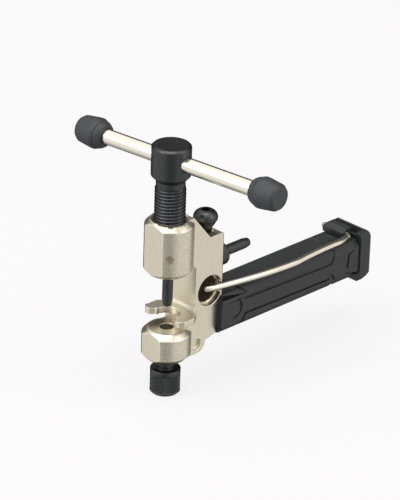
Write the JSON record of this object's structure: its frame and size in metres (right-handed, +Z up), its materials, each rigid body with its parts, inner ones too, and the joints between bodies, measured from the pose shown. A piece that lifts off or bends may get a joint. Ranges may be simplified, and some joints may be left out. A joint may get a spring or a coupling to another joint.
{
  "type": "bicycle chain tool",
  "caption": "C-shaped steel chain breaker with a T-bar drive screw and push pin over a toothed chain seat, a knurled anvil screw, and a black grip with a clipped-on wire chain hook.",
  "frame": {"origin": "on the press axis at the height of the chain seat, the top face of the lower boss", "axes": "+X along the chain, +Y along the grip away from the press axis, +Z up the press axis towards the drive screw's head"},
  "size_m": [0.0748, 0.0892, 0.0812],
  "materials": {
    "nickel_steel": "satin nickel on cast steel, brushed flats",
    "polished_nickel": "polished nickel plate",
    "nickel_wire": "nickel-plated spring wire",
    "black_oxide": "black oxide, oiled",
    "hardened_steel": "ground",
    "black_nylon": "moulded glass-filled nylon, fine spark texture",
    "grey_rubber": "moulded, matte"
  },
  "bodies": {
    "frame": {"body": "nickel_steel", "hook_bush": "black_nylon", "lock_screw": "black_oxide", "grip_shell_left": "black_nylon", "grip_shell_right": "black_nylon", "grip_screws": "black_oxide", "end_cap": "black_nylon", "end_cap_screw": "black_oxide"},
    "pin_carriage": {"push_pin": "black_oxide", "thrust_ball": "hardened_steel"},
    "spindle": {"drive_screw": "black_oxide", "pin_holder": "black_oxide"},
    "bar": {"tee_bar": "polished_nickel", "bar_grip_left": "grey_rubber", "bar_grip_right": "grey_rubber"},
    "anvil_carriage": {"anvil_tip": "hardened_steel"},
    "anvil": {"anvil_screw": "black_oxide"},
    "hook": {"chain_hook": "nickel_wire"},
    "spare": {"spare_pin": "black_oxide", "spare_pin_holder": "black_oxide"}
  },
  "joints": [
    {"name": "pin_feed", "type": "slide", "parent": "frame", "child": "pin_carriage", "axis": [0, 0, 1], "range_m": [-0.01, 0.0095]},
    {"name": "spindle_turn", "type": "hinge", "parent": "pin_carriage", "child": "spindle", "pos_m": [0, 0, 0.03], "axis": [0, 0, 1], "range_deg": [-3420, 3240]},
    {"name": "bar_slide", "type": "slide", "parent": "spindle", "child": "bar", "axis": [0.9938, 0.1115, 0], "range_m": [-0.0244, 0.0184]},
    {"name": "anvil_feed", "type": "slide", "parent": "frame", "child": "anvil_carriage", "axis": [0, 0, 1], "range_m": [-0.0016, 0.0032]},
    {"name": "anvil_turn", "type": "hinge", "parent": "anvil_carriage", "child": "anvil", "pos_m": [0, 0, -0.0176], "axis": [0, 0, 1], "range_deg": [-730, 1450]},
    {"name": "hook_pull", "type": "slide", "parent": "frame", "child": "hook", "axis": [1, 0, 0], "range_m": [0, 0.016]},
    {"name": "spare_pull", "type": "slide", "parent": "frame", "child": "spare", "axis": [0, 1, 0], "range_m": [0, 0.006]}
  ],
  "couplings": [
    {"joint": "spindle_turn", "follows": "pin_feed", "rad_per_m": 5938.7},
    {"joint": "anvil_turn", "follows": "anvil_feed", "rad_per_m": 7854}
  ]
}
